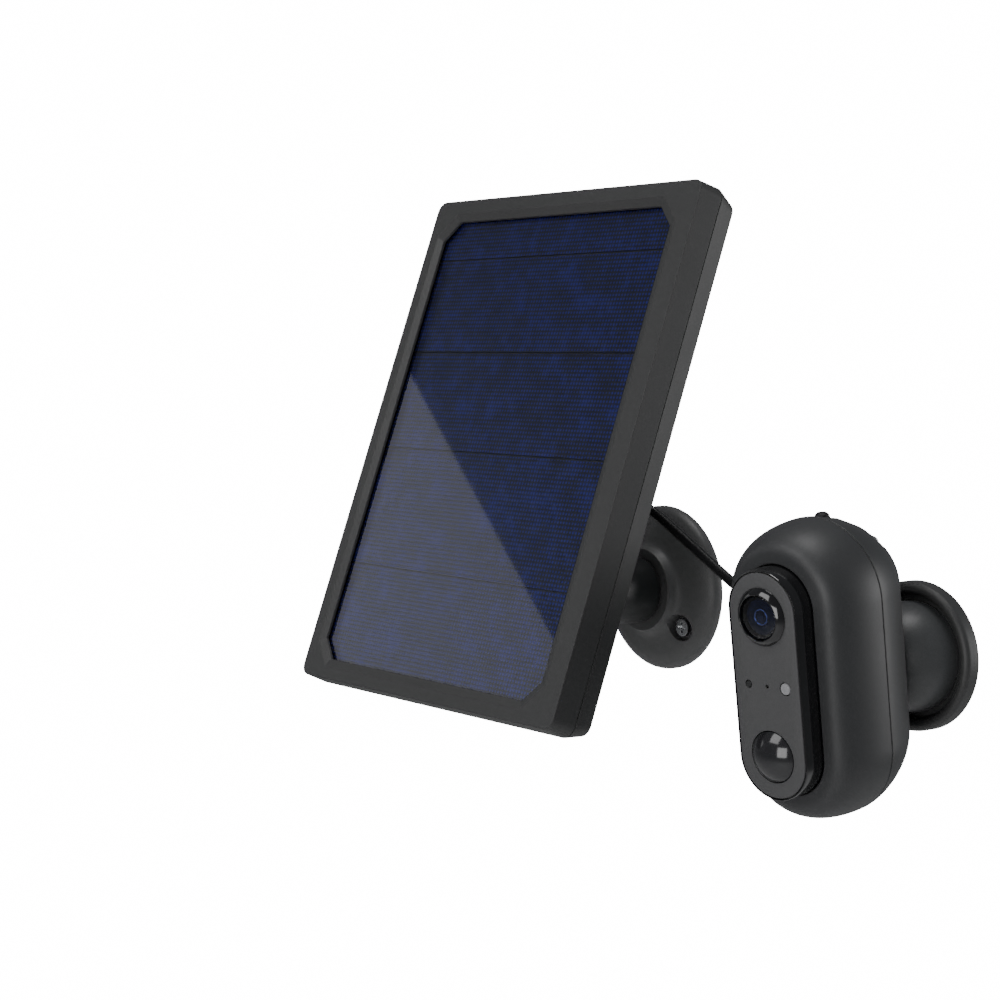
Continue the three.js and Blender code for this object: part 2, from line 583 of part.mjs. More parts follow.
// Charging lead: from the panel's gland to a coil that hangs on the arm, then to the camera's plug.
function inRow(parent, x, y, z) {
  group.updateMatrixWorld(true);
  return parent.localToWorld(new THREE.Vector3(x, y, z)).toArray();
}

function buildLead() {
  const tail = panelDepth + glandLength;
  piece(wallSide, 'lead_panel_end', tube([
    inRow(panel, glandX, tail + gap, glandZ), inRow(panel, glandX, tail + 3, glandZ),
    [-24.5, -55.5, 27.2], [-17.5, -54.3, 27.6], [-11.8, -54.2, 27.5], [-7, -54.3, 27.3],
  ], leadRadius, 8, 4), 'rubber');
  const corner = 3;
  piece(wallSide, 'lead_coil', turned([
    [coilInner, -coilBack - corner], [coilInner + corner, -coilBack], [coilOuter - corner, -coilBack],
    [coilOuter, -coilBack - corner], [coilOuter, corner - coilFront], [coilOuter - corner, -coilFront],
    [coilInner + corner, -coilFront], [coilInner, corner - coilFront], [coilInner, -coilBack - corner],
  ], 28), 'rubber', [0, 0, -coilDrop]);
  const middle = [(coilInner + coilOuter) / 2, (coilFront + coilBack) / 2];
  const across = [coilOuter - coilInner + 2 * gap, coilFront - coilBack + 2 * gap];
  piece(wallSide, 'coil_tie', cut(box(across[0] + 1.6, across[1] + 1.6, 4), box(...across, 6)),
    'dark', [-middle[0], -middle[1], -coilDrop]);
  const bootEnd = portX - bootLength;
  piece(wallSide, 'lead', tube([
    [-18.8, -50, 20.9], [-11, -49.3, 27.8], [0, -47.5, 35.5], [12, -44.5, 40], [24, -41.5, 38],
    [36, -38.3, 32], [46, -38.1, 26.4], [56, -37.9, 20.8], [66, -37.7, 15.2], [75.1, -37.5, 10.1],
    inRow(camera, bootEnd - 3, portY, portHeight), inRow(camera, bootEnd - gap, portY, portHeight),
  ], leadRadius, 8, 8), 'rubber');
  const grip = slab(roundedOutline(gripThickness, 10.6, 2.4), 0, 11);
  const boot = turned([[0, -0.5], [2.9, -0.5], [2.3, 7], [0, 7]], 16);
  const tongue = box(1.8, 6.4, 6.8, 0, -2.7, 0);
  const plug = join(grip, boot.translate(0, 11, 0), tongue);
  piece(camera, 'lead_plug', plug.rotateZ(Math.PI / 2), 'rubber', [portX, portY, portHeight]);
}

buildFrame();
buildLaminate();
buildBackCover();
buildWallBase();
buildArm();
buildBall();
buildMount();
buildFrontShell();
buildRearShell();
buildFace();
buildOptics();
buildElectronics();
buildLead();

export default group;
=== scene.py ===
import bpy
import bmesh
import json
import math
from mathutils import Matrix, Vector


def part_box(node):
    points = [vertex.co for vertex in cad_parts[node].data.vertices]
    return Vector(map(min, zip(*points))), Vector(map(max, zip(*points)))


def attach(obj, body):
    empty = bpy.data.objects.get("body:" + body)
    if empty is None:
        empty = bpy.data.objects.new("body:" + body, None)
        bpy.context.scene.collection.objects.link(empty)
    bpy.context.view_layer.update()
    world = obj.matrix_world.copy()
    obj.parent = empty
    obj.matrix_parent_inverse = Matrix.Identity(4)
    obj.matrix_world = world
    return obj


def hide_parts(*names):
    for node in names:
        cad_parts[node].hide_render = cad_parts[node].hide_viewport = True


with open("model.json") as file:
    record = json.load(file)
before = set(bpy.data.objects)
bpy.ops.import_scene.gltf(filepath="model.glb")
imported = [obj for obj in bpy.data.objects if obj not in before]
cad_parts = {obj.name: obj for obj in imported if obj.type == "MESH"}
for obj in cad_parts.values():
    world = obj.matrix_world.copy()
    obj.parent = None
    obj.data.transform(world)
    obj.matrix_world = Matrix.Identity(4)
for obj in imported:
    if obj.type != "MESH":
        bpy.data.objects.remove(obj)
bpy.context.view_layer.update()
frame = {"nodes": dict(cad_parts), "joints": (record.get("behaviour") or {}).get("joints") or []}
joints = {joint["name"]: joint for joint in frame["joints"]}


# camera
view = {"place": (0.5686, -0.5144, 0.0876), "azimuth": 52.494, "elevation": 4.143, "roll": 0.097,
        "lens": 74.49, "sensor": 36, "clip": (0.05, 20)}


def makeCamera():
    data = bpy.data.cameras.new("view")
    data.lens = view["lens"]
    data.sensor_width = view["sensor"]
    data.clip_start, data.clip_end = view["clip"]
    camera = bpy.data.objects.new("view", data)
    bpy.context.collection.objects.link(camera)
    azimuth, elevation = math.radians(view["azimuth"]), math.radians(view["elevation"])
    ahead = Vector((-math.sin(azimuth) * math.cos(elevation),
                    math.cos(azimuth) * math.cos(elevation), -math.sin(elevation)))
    turn = ahead.to_track_quat("-Z", "Y").to_matrix() @ Matrix.Rotation(math.radians(view["roll"]), 3, "Z")
    camera.matrix_world = Matrix.Translation(view["place"]) @ turn.to_4x4()
    bpy.context.scene.camera = camera


# studio: a white backdrop for the camera, a dim even fill for everything else, and four soft boxes
studio = {"backdrop": 16, "fill": 0.16, "fillColour": (0.93, 0.96, 1, 1)}
softBoxes = (  # name, place, target, size, power
    ("softbox", (-0.1, -1.25, 1.05), (0.03, -0.04, 0), (0.9, 0.8), 8),
    ("overhead", (0.1, -0.1, 1.4), (0.1, -0.05, 0), (0.6, 0.6), 7),
    ("frontFill", (0.75, -1.35, 0.05), (0.06, -0.05, 0), (0.8, 0.8), 9),
    ("backRim", (0.9, 1.3, 0.15), (0.1, -0.05, 0), (0.3, 0.8), 8))


def makeAreaLight(name, size, power):
    data = bpy.data.lights.new(name, "AREA")
    data.shape = "RECTANGLE"
    data.size, data.size_y = size
    data.energy = power
    light = bpy.data.objects.new(name, data)
    bpy.context.collection.objects.link(light)
    return light


def makeSoftBoxes():
    for name, spot, target, size, power in softBoxes:
        light = makeAreaLight(name, size, power)
        light.location = spot
        light.rotation_euler = (Vector(target) - Vector(spot)).to_track_quat("-Z", "Y").to_euler()


def makeWorld():
    world = bpy.data.worlds.new("studio")
    bpy.context.scene.world = world
    world.use_nodes = True
    nodes, links = world.node_tree.nodes, world.node_tree.links
    nodes.clear()
    out = nodes.new("ShaderNodeOutputWorld")
    mix = nodes.new("ShaderNodeMixShader")
    seen = nodes.new("ShaderNodeBackground")
    seen.inputs["Color"].default_value = (1, 1, 1, 1)
    seen.inputs["Strength"].default_value = studio["backdrop"]
    lit = nodes.new("ShaderNodeBackground")
    lit.inputs["Color"].default_value = studio["fillColour"]
    lit.inputs["Strength"].default_value = studio["fill"]
    path = nodes.new("ShaderNodeLightPath")
    links.new(path.outputs["Is Camera Ray"], mix.inputs["Fac"])
    links.new(lit.outputs["Background"], mix.inputs[1])
    links.new(seen.outputs["Background"], mix.inputs[2])
    links.new(mix.outputs["Shader"], out.inputs["Surface"])


# node helpers
def link(tree, source, target):
    tree.links.new(source, target)


def newGroup(name, takes, gives):
    tree = bpy.data.node_groups.new(name, "ShaderNodeTree")
    for label, kind, value in takes:
        socket = tree.interface.new_socket(label, in_out="INPUT", socket_type=kind)
        if value is not None:
            socket.default_value = value
    for label, kind in gives:
        tree.interface.new_socket(label, in_out="OUTPUT", socket_type=kind)
    return tree, tree.nodes.new("NodeGroupInput"), tree.nodes.new("NodeGroupOutput")


def makeMath(tree, operation, *values):
    node = tree.nodes.new("ShaderNodeMath")
    node.operation = operation
    for socket, value in zip(node.inputs, values):
        if isinstance(value, (int, float)):
            socket.default_value = value
        else:
            link(tree, value, socket)
    return node.outputs[0]


def makeNoise(tree, scale, detail, roughness=0.5):
    noise = tree.nodes.new("ShaderNodeTexNoise")
    noise.inputs["Detail"].default_value = detail
    noise.inputs["Roughness"].default_value = roughness
    if isinstance(scale, (int, float)):
        noise.inputs["Scale"].default_value = scale
    else:
        link(tree, scale, noise.inputs["Scale"])
    place = tree.nodes.new("ShaderNodeTexCoord")
    link(tree, place.outputs["Object"], noise.inputs["Vector"])
    return noise.outputs[0]


def makeRange(tree, value, low, high):
    spread = tree.nodes.new("ShaderNodeMapRange")
    link(tree, value, spread.inputs["Value"])
    spread.inputs["To Min"].default_value = low
    spread.inputs["To Max"].default_value = high
    return spread.outputs[0]


# a moulded surface: fine grain, slow changes of tone and gloss, and a rounded edge
def makeMouldedGroup():
    tree, source, target = newGroup("mouldedSurface", [
        ("Colour", "NodeSocketColor", (0.1, 0.1, 0.1, 1)), ("Roughness", "NodeSocketFloat", 0.5),
        ("Grain Scale", "NodeSocketFloat", 2500), ("Grain Height", "NodeSocketFloat", 0.00003),
        ("Edge Radius", "NodeSocketFloat", 0.0004)],
        [("Colour", "NodeSocketColor"), ("Roughness", "NodeSocketFloat"), ("Normal", "NodeSocketVector")])
    cloud = makeNoise(tree, 22, 4)
    grain = makeNoise(tree, source.outputs["Grain Scale"], 2)
    shade = makeMath(tree, "MULTIPLY", makeRange(tree, cloud, 0.88, 1.12), makeRange(tree, grain, 0.8, 1.2))
    scaled = tree.nodes.new("ShaderNodeVectorMath")
    scaled.operation = "SCALE"
    link(tree, source.outputs["Colour"], scaled.inputs[0])
    link(tree, shade, scaled.inputs["Scale"])
    link(tree, scaled.outputs[0], target.inputs["Colour"])
    smear = makeRange(tree, makeNoise(tree, 60, 5, 0.6), -0.06, 0.06)
    link(tree, makeMath(tree, "ADD", source.outputs["Roughness"], smear), target.inputs["Roughness"])
    rounded = tree.nodes.new("ShaderNodeBevel")
    rounded.samples = 6
    link(tree, source.outputs["Edge Radius"], rounded.inputs["Radius"])
    bump = tree.nodes.new("ShaderNodeBump")
    bump.inputs["Strength"].default_value = 1
    link(tree, source.outputs["Grain Height"], bump.inputs["Distance"])
    link(tree, grain, bump.inputs["Height"])
    link(tree, rounded.outputs["Normal"], bump.inputs["Normal"])
    link(tree, bump.outputs["Normal"], target.inputs["Normal"])
    return tree


mouldedSurface = makeMouldedGroup()


def newMaterial(name):
    material = bpy.data.materials.new(name)
    material.use_nodes = True
    tree = material.node_tree
    return material, tree, tree.nodes["Principled BSDF"]


def makePlastic(name, colour, roughness, grainScale=2500, grainHeight=0.00003, edge=0.0004,
                specular=0.5, metallic=0, coat=0):
    material, tree, shader = newMaterial(name)
    group = tree.nodes.new("ShaderNodeGroup")
    group.node_tree = mouldedSurface
    group.inputs["Colour"].default_value = (*colour, 1)
    group.inputs["Roughness"].default_value = roughness
    group.inputs["Grain Scale"].default_value = grainScale
    group.inputs["Grain Height"].default_value = grainHeight
    group.inputs["Edge Radius"].default_value = edge
    link(tree, group.outputs["Colour"], shader.inputs["Base Color"])
    link(tree, group.outputs["Roughness"], shader.inputs["Roughness"])
    link(tree, group.outputs["Normal"], shader.inputs["Normal"])
    shader.inputs["Specular IOR Level"].default_value = specular
    shader.inputs["Metallic"].default_value = metallic
    shader.inputs["Coat Weight"].default_value = coat
    shader.inputs["Coat Roughness"].default_value = 0.03
    return material


# plastics: name, colour, roughness, grain
housingPlastic = makePlastic("housing", (0.038, 0.0385, 0.039), 0.5, 2600, 0.00004)
# wall base: painted light, a colour lighter than the plastic's own tone that lifts the shade it sits in behind
# the panel
wallPlasticPaintedLight = makePlastic("wallHousingPaintedLight", (0.09, 0.0905, 0.092), 0.45, 2600, 0.00003)
bodyPlastic = makePlastic("body", (0.036, 0.037, 0.039), 0.46, 3000, 0.00002)
facePlastic = makePlastic("face", (0.075, 0.075, 0.077), 0.55, 3000, 0.00003, edge=0.0002)
darkPlastic = makePlastic("dark", (0.02, 0.021, 0.022), 0.45, 2200, 0.00002)
glossPlastic = makePlastic("gloss", (0.006, 0.006, 0.007), 0.1, 700, 0.000002, edge=0.0002, coat=0.6)
motionPlastic = makePlastic("motionDome", (0.018, 0.018, 0.02), 0.16, 900, 0.000002, edge=0.0002, coat=0.4)
lightPlastic = makePlastic("lightWindow", (0.3, 0.3, 0.31), 0.35, 1500, 0.00001, edge=0.0001)
rubberSkin = makePlastic("rubber", (0.012, 0.012, 0.013), 0.55, 1800, 0.00003, edge=0.0003, specular=0.35)
cordSkin = makePlastic("cordSkin", (0.009, 0.009, 0.01), 0.42, 1400, 0.00001, edge=0.0001, specular=0.4)

# metals, coated dome, circuit boards and battery sleeves
steelSkin = makePlastic("steel", (0.62, 0.63, 0.64), 0.28, 1600, 0.000004, edge=0.0002, metallic=1)
brassSkin = makePlastic("brass", (0.55, 0.4, 0.14), 0.32, 1600, 0.000005, edge=0.0002, metallic=1)
domeSkin = makePlastic("domeCoat", (0.075, 0.077, 0.08), 0.42, 2400, 0.00002, edge=0.0002)
boardSkin = makePlastic("board", (0.02, 0.09, 0.035), 0.4, 900, 0.00002, edge=0.0001)
batterySkin = makePlastic("battery", (0.03, 0.12, 0.32), 0.3, 1200, 0.00001, edge=0.0003)


# frames of the two tilted units
def makeFrame(origin, back):
    back = Vector(back).normalized()
    right = Vector((back.y, -back.x, 0)).normalized()
    up = right.cross(back)
    turn = Matrix((right, back, up)).transposed()
    return Matrix.Translation(origin) @ turn.to_4x4()


ballCentre = Vector(joints["panel_tilt"]["pos_m"])
domeCentre = Vector(joints["camera_roll"]["pos_m"])
panelFrame = makeFrame(ballCentre, -Vector(joints["panel_turn"]["axis"]))
cameraFrame = makeFrame(domeCentre, -Vector(joints["camera_roll"]["axis"]))


def localBox(node, place):
    inverse = place.inverted()
    points = [inverse @ vertex.co for vertex in frame["nodes"][node].data.vertices]
    low = Vector([min(point[i] for point in points) for i in range(3)])
    high = Vector([max(point[i] for point in points) for i in range(3)])
    return low, high


def middleOf(box):
    low, high = box
    return (low.x + high.x) / 2, (low.y + high.y) / 2, (low.z + high.z) / 2


# mesh helpers
def finishPiece(name, bm, material, body, nodes, place=Matrix(), sharp=35):
    bmesh.ops.remove_doubles(bm, verts=bm.verts, dist=1e-7)
    bmesh.ops.recalc_face_normals(bm, faces=bm.faces)
    bmesh.ops.transform(bm, matrix=place, verts=bm.verts)
    mesh = bpy.data.meshes.new(name)
    bm.to_mesh(mesh)
    bm.free()
    mesh.materials.append(material)
    mesh.shade_smooth()
    mesh.set_sharp_from_angle(angle=math.radians(sharp))
    piece = bpy.data.objects.new(name, mesh)
    bpy.context.collection.objects.link(piece)
    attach(piece, body)
    if nodes:
        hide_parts(*nodes)
    return piece


def profileEdges(bm, profile):
    vertices = [bm.verts.new((r, y, 0)) for r, y in profile]
    return vertices, [bm.edges.new(pair) for pair in zip(vertices, vertices[1:])]


def turnProfile(profile, steps=96):
    bm = bmesh.new()
    vertices, edges = profileEdges(bm, profile)
    bmesh.ops.spin(bm, geom=vertices + edges, cent=(0, 0, 0), axis=(0, 1, 0),
                   angle=-2 * math.pi, steps=steps, use_merge=True)
    return bm


def turnStadium(bm, profile, length, steps=48):
    for side in (1, -1):
        before = set(bm.verts)
        vertices, edges = profileEdges(bm, [(side * r, y) for r, y in profile])
        bmesh.ops.spin(bm, geom=vertices + edges, cent=(0, 0, 0), axis=(0, 1, 0),
                       angle=-math.pi, steps=steps)
        fresh = [vertex for vertex in bm.verts if vertex not in before]
        bmesh.ops.translate(bm, vec=(0, 0, side * length / 2), verts=fresh)
        wall = bmesh.ops.extrude_edge_only(bm, edges=edges)
        moved = [item for item in wall["geom"] if isinstance(item, bmesh.types.BMVert)]
        bmesh.ops.translate(bm, vec=(0, 0, -side * length), verts=moved)


# the rounded flank of a shell, from its full radius in to its end
def shoulder(radius, end, power, start, reach, count=24):
    curve = []
    for i in range(count + 1):
        share = math.sin(0.5 * math.pi * i / count)
        curve.append((end + (radius - end) * (1 - share ** power) ** (1 / power), start + reach * share))
    return curve


def arc(centre, radius, start, stop, count):
    return [(centre[0] + radius * math.cos(math.radians(start + (stop - start) * i / count)),
             centre[1] + radius * math.sin(math.radians(start + (stop - start) * i / count)))
            for i in range(count + 1)]


# the lead: one length from the panel's gland through the coil to the camera's plug
leadSizes = {"radius": 0.00175, "length": 2.0, "coilDrop": -0.0015, "rowPitch": 0.0036}


def coilPoint(angle, radius, y):
    turn = math.radians(angle)
    return (radius * math.cos(turn), y, leadSizes["coilDrop"] + radius * math.sin(turn))


def between(share, first, last):
    share = min(max(share, 0), 1)
    share = share * share * (3 - 2 * share)
    return first + (last - first) * share


def makeLeadPoints():
    gland = localBox("cable_gland", panelFrame)
    tail = panelFrame @ Vector(((gland[0].x + gland[1].x) / 2, gland[1].y, (gland[0].z + gland[1].z) / 2))
    back = -Vector(joints["panel_turn"]["axis"])
    points = [tail - back * 0.001, tail + back * 0.0015, tail + back * 0.0033]
    points += [(-0.0245, -0.0555, 0.0272), (-0.0175, -0.0543, 0.0276), (-0.0118, -0.0542, 0.0275),
               (-0.007, -0.0543, 0.0273), coilPoint(85, 0.0284, -0.0544), coilPoint(60, 0.0264, -0.0545)]
    outer, middle, inner = 0.0253, 0.0215, 0.0177
    front, backRow = -0.0617, -0.0473
    perTurn = 18
    for i in range(int(12.15 * perTurn) + 1):
        t = i / perTurn
        radius = between((t - 2.75) * 4, outer, middle) if t < 5 else between((t - 7.75) * 4, middle, inner)
        if t < 3:
            y = max(-0.0545 - leadSizes["rowPitch"] * t, front)
        elif t < 8:
            y = min(front + leadSizes["rowPitch"] * (t - 3), backRow)
        else:
            y = max(backRow - leadSizes["rowPitch"] * (t - 8), front)
        points.append(coilPoint(35 - 360 * t, radius, y))
    for angle in range(-40, -240, -20):
        lift = between((-20 - angle) / 45, front, -0.0653)
        points.append(coilPoint(angle, between((-60 - angle) / 110, inner, 0.0306),
                                between((-170 - angle) / 60, lift, -0.0505)))
    points += [(-0.0188, -0.05, 0.0209), (-0.011, -0.0493, 0.0278), (0, -0.0475, 0.0355),
               (0.012, -0.0445, 0.04), (0.024, -0.0415, 0.038), (0.036, -0.0383, 0.032),
               (0.046, -0.0381, 0.0264), (0.056, -0.0379, 0.0208), (0.066, -0.0377, 0.0152),
               (0.0751, -0.0375, 0.0101)]
    plug = localBox("lead_plug", cameraFrame)
    middleY, middleZ = (plug[0].y + plug[1].y) / 2, (plug[0].z + plug[1].z) / 2
    points += [cameraFrame @ Vector((plug[0].x - 0.003, middleY, middleZ)),
               cameraFrame @ Vector((plug[0].x + 0.001, middleY, middleZ))]
    return [Vector(point) for point in points]


def makeLead():
    points = makeLeadPoints()
    curve = bpy.data.curves.new("charging_lead", "CURVE")
    curve.dimensions = "3D"
    curve.bevel_depth = leadSizes["radius"]
    curve.bevel_resolution = 4
    curve.resolution_u = 4
    curve.use_fill_caps = True
    spline = curve.splines.new("NURBS")
    spline.points.add(len(points) - 1)
    for place, point in zip(spline.points, points):
        place.co = (*point, 1)
    spline.order_u = 4
    spline.use_endpoint_u = True
    curve.materials.append(cordSkin)
    lead = bpy.data.objects.new("charging_lead", curve)
    bpy.context.collection.objects.link(lead)
    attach(lead, "wall")
    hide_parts("lead_panel_end", "lead_coil", "lead")


makeCamera()
makeLead()
print("camera and lead")


# cutting tools, used up by carve()
def makeCylinderTool(radius, low, high, centre=(0, 0, 0), axis="Y", place=Matrix()):
    bm = bmesh.new()
    bmesh.ops.create_cone(bm, cap_ends=True, segments=48, radius1=radius, radius2=radius, depth=high - low)
    turn = Matrix.Rotation(math.radians(90), 4, "X") if axis == "Y" else Matrix()
    along = (0, (low + high) / 2, 0) if axis == "Y" else (0, 0, (low + high) / 2)
    bmesh.ops.transform(bm, matrix=place @ Matrix.Translation(Vector(centre) + Vector(along)) @ turn,
                        verts=bm.verts)
    return bm


def makeBoxTool(size, centre, tilt=0, place=Matrix()):
    bm = bmesh.new()
    bmesh.ops.create_cube(bm, size=1, matrix=place @ Matrix.Translation(centre)
                          @ Matrix.Rotation(math.radians(tilt), 4, "X") @ Matrix.Diagonal((*size, 1)))
    return bm


def carve(piece, tools, sharp=35):
    for tool in tools:
        mesh = bpy.data.meshes.new("tool")
        tool.to_mesh(mesh)
        tool.free()
        cutter = bpy.data.objects.new("tool", mesh)
        bpy.context.collection.objects.link(cutter)
        cut = piece.modifiers.new("cut", "BOOLEAN")
        cut.operation = "DIFFERENCE"
        cut.solver = "EXACT"
        cut.object = cutter
        bpy.context.view_layer.update()
        carved = bpy.data.meshes.new_from_object(piece.evaluated_get(bpy.context.evaluated_depsgraph_get()))
        piece.modifiers.clear()
        piece.data = carved
        bpy.data.objects.remove(cutter)
    piece.data.shade_smooth()
    piece.data.set_sharp_from_angle(angle=math.radians(sharp))


# camera body: two shells that meet at a fine seam
body = {"radius": 0.0242, "length": 0.0454, "wall": 0.002, "rim": 0.0159, "mouth": 0.0134, "frontPower": 2.2,
        "front": -0.0171, "seam": 0.0022, "back": 0.0077, "rearPower": 1.5, "rearStart": 0.0025, "end": 0.02925,
        "grooveDepth": 0.00015, "grooveHeight": 0.00012, "sharp": 28}
frontBox = localBox("front_shell", cameraFrame)
bodyCentre = Vector((0, frontBox[1].y - body["seam"], middleOf(frontBox)[2]))
bodyFrame = cameraFrame @ Matrix.Translation(bodyCentre)
face = localBox("face_plate", bodyFrame)[0].y


def makeFrontShell():
    r, wall, front, seam = body["radius"], body["wall"], body["front"], body["seam"]
    mouth = body["mouth"]
    reach = front - seam
    outside = shoulder(r, body["rim"], body["frontPower"], seam, reach)
    inside = shoulder(r - wall, body["rim"] - 0.0006, body["frontPower"], seam, reach + wall)
    start = (outside[0][0], outside[0][1] - body["grooveHeight"])
    profile = [(r - body["grooveDepth"], seam), start] + outside[1:]
    profile += [(mouth + 0.0002, front), (mouth, front + 0.0002), (mouth, front + wall)]
    profile += inside[::-1] + [profile[0]]
    bm = bmesh.new()
    turnStadium(bm, profile, body["length"])
    finishPiece("camera_front_shell", bm, bodyPlastic, "camera", ["front_shell"],
                bodyFrame, body["sharp"])


# openings in the rear shell: magnet seat, button, card flap, charging port and screw heads
openings = {"seatRadius": 0.0074, "seatDepth": 0.0042, "buttonRadius": 0.0028,
            "flap": (0.0146, 0.0102, 0.004), "flapTilt": -27, "flapLift": 0.0014,
            "port": (0.016, 0.004, 0.0092), "portShift": 0.003, "screwRadius": 0.0027, "screwDepth": 0.0018}


def makeRearShell():
    r, wall, start, end = body["radius"], body["wall"], body["rearStart"], body["end"]
    outside = shoulder(r, body["back"], body["rearPower"], start, end - start)
    inside = shoulder(r - wall, body["back"] - 0.001, body["rearPower"], start, end - start - wall)
    profile = [(r - body["grooveDepth"], start), (r, start + body["grooveHeight"])] + outside[1:] + [(0, end)]
    inner = [(0, end - wall)] + inside[::-1] + [profile[0]]
    bm = bmesh.new()
    for part in (profile, inner):
        turnStadium(bm, part, body["length"])
    shell = finishPiece("camera_rear_shell", bm, bodyPlastic, "camera", ["rear_shell"],
                        bodyFrame, body["sharp"])
    seat, button, flap, port = [localBox(node, bodyFrame)
                                for node in ("seat_magnet", "top_button", "card_flap", "usb_port")]
    middle = (flap[0] + flap[1]) / 2
    tools = [makeCylinderTool(openings["seatRadius"], end - openings["seatDepth"], end + 0.002,
                              (0, 0, middleOf(seat)[2]), "Y", bodyFrame),
             makeCylinderTool(openings["buttonRadius"], button[0].z, button[1].z + 0.004,
                              (0, middleOf(button)[1], 0), "Z", bodyFrame),
             makeBoxTool(openings["flap"], (0, middle.y, middle.z + openings["flapLift"]),
                         openings["flapTilt"], bodyFrame),
             makeBoxTool(openings["port"], (port[0].x - openings["portShift"], *middleOf(port)[1:]),
                         0, bodyFrame)]
    for i in (1, 2, 3):
        head = localBox(f"shell_screw_{i}", bodyFrame)
        x, _, z = middleOf(head)
        tools.append(makeCylinderTool(openings["screwRadius"], head[1].y - openings["screwDepth"], 0.034,
                                      (x, 0, z), "Y", bodyFrame))
    carve(shell, tools, body["sharp"])


# glossy insert that stands out of the front shell, with the matt face let into it
faceSizes = {"radius": 0.0131, "flange": 0.0015, "lip": 0.0014, "border": 0.0008, "skin": 0.0006,
             "holes": {"lens_ring": 0.0082, "motion_lens": 0.0082, "status_light": 0.0021,
                       "light_sensor": 0.0013, "microphone": 0.0006}}


def makeFace():
    r, y, front = faceSizes["radius"], face, body["front"]
    flange, lip = r + faceSizes["flange"], r - faceSizes["lip"]
    profile = [(0, y + 0.0009), (r - 0.0005, y + 0.0009), (r - 0.00045, y + 0.0002),
               (r - 0.0002, y + 0.0001), (r - 0.0001, y + 0.0003), (r, y + 0.0008), (r, front + 0.0023),
               (flange, front + 0.0023), (flange, front + 0.0035),
               (lip, front + 0.0035), (lip, y + 0.0022), (0, y + 0.0022)]
    bm = bmesh.new()
    turnStadium(bm, profile, body["length"])
    insert = finishPiece("face_insert", bm, glossPlastic, "camera", ["front_insert"], bodyFrame)
    edge, back = r - faceSizes["border"], y + faceSizes["skin"]
    plate = [(0, y), (edge - 0.0003, y), (edge - 0.0001, y + 0.0001), (edge, y + 0.0003), (edge, back), (0, back)]
    bm = bmesh.new()
    turnStadium(bm, plate, body["length"])
    skin = finishPiece("face_skin", bm, facePlastic, "camera", ["face_plate"], bodyFrame)
    spots = []
    for node, radius in faceSizes["holes"].items():
        x, _, z = middleOf(localBox(node, bodyFrame))
        spots.append((radius, (x, 0, z)))
    for piece in (insert, skin):
        carve(piece, [makeCylinderTool(radius, y - 0.001, y + 0.004, spot, "Y", bodyFrame)
                      for radius, spot in spots])


# glass that shows what lies behind it, with a mirror coat that grows towards grazing
def makeGlass(name, tint, roughness, ior):
    material, tree, shader = newMaterial(name)
    tree.nodes.remove(shader)
    clear = tree.nodes.new("ShaderNodeBsdfTransparent")
    clear.inputs["Color"].default_value = (*tint, 1)
    mirror = tree.nodes.new("ShaderNodeBsdfGlossy")
    smear = makeRange(tree, makeNoise(tree, 45, 4, 0.6), roughness * 0.8, roughness * 1.25)
    link(tree, smear, mirror.inputs["Roughness"])
    coat = tree.nodes.new("ShaderNodeFresnel")
    coat.inputs["IOR"].default_value = ior
    side = tree.nodes.new("ShaderNodeNewGeometry")
    front = makeMath(tree, "SUBTRACT", 1, side.outputs["Backfacing"])
    mix = tree.nodes.new("ShaderNodeMixShader")
    link(tree, makeMath(tree, "MULTIPLY", coat.outputs[0], front), mix.inputs["Fac"])
    link(tree, clear.outputs[0], mix.inputs[1])
    link(tree, mirror.outputs[0], mix.inputs[2])
    link(tree, mix.outputs[0], tree.nodes["Material Output"].inputs["Surface"])
    return material


panelGlass = makeGlass("panelGlass", (0.9, 0.92, 1), 0.025, 1.48)
lensGlass = makeGlass("lensGlass", (0.55, 0.6, 0.8), 0.03, 1.7)


# lens with its hood and iris ring
lens = {"bore": 0.0069, "tube": 0.0079, "flare": 0.009, "depth": 0.003, "glass": 0.0066, "bulge": 0.0006,
        "iris": 0.00235, "irisWire": 0.00022}


def makeLens():
    box = localBox("lens_ring", bodyFrame)
    front = box[0].y
    ringFrame = bodyFrame @ Matrix.Translation((0, 0, middleOf(box)[2]))
    bore, tube, flare, back = lens["bore"], lens["tube"], lens["flare"], face + lens["depth"]
    hood = [(bore, back), (bore, front + 0.0002)] + arc((0.0071, front + 0.0002), 0.0002, 180, 300, 5)
    hood += [(0.0074, front + 0.0001), (0.0089, face - 0.0005), (flare, face - 0.0003), (tube, face - 0.0003),
             (tube, back), (bore, back)]
    finishPiece("lens_hood", turnProfile(hood), glossPlastic, "camera", ["lens_ring"], ringFrame)
    r, rim = lens["glass"], front + 0.0008
    dome = [(r * math.sin(math.radians(a)), rim - lens["bulge"] * math.cos(math.radians(a)))
            for a in range(0, 91, 9)]
    dome += [(r, front + 0.0014), (0, front + 0.0014)]
    finishPiece("lens_window", turnProfile(dome), lensGlass, "camera", ["lens_glass"], ringFrame)
    iris = [(0.0021, front + 0.0018)]
    iris += arc((lens["iris"], front + 0.0018), lens["irisWire"], 180, 360, 8)
    iris += [(0.0026, front + 0.00188), (0.0021, front + 0.00188), (0.0021, front + 0.0018)]
    finishPiece("iris_ring", turnProfile(iris), steelSkin, "camera", [], ringFrame)


# motion sensor's window: a cap cut from a ball
motion = {"radius": 0.0079, "wall": 0.0008, "depth": 0.003, "hollow": 0.88, "steps": 20}


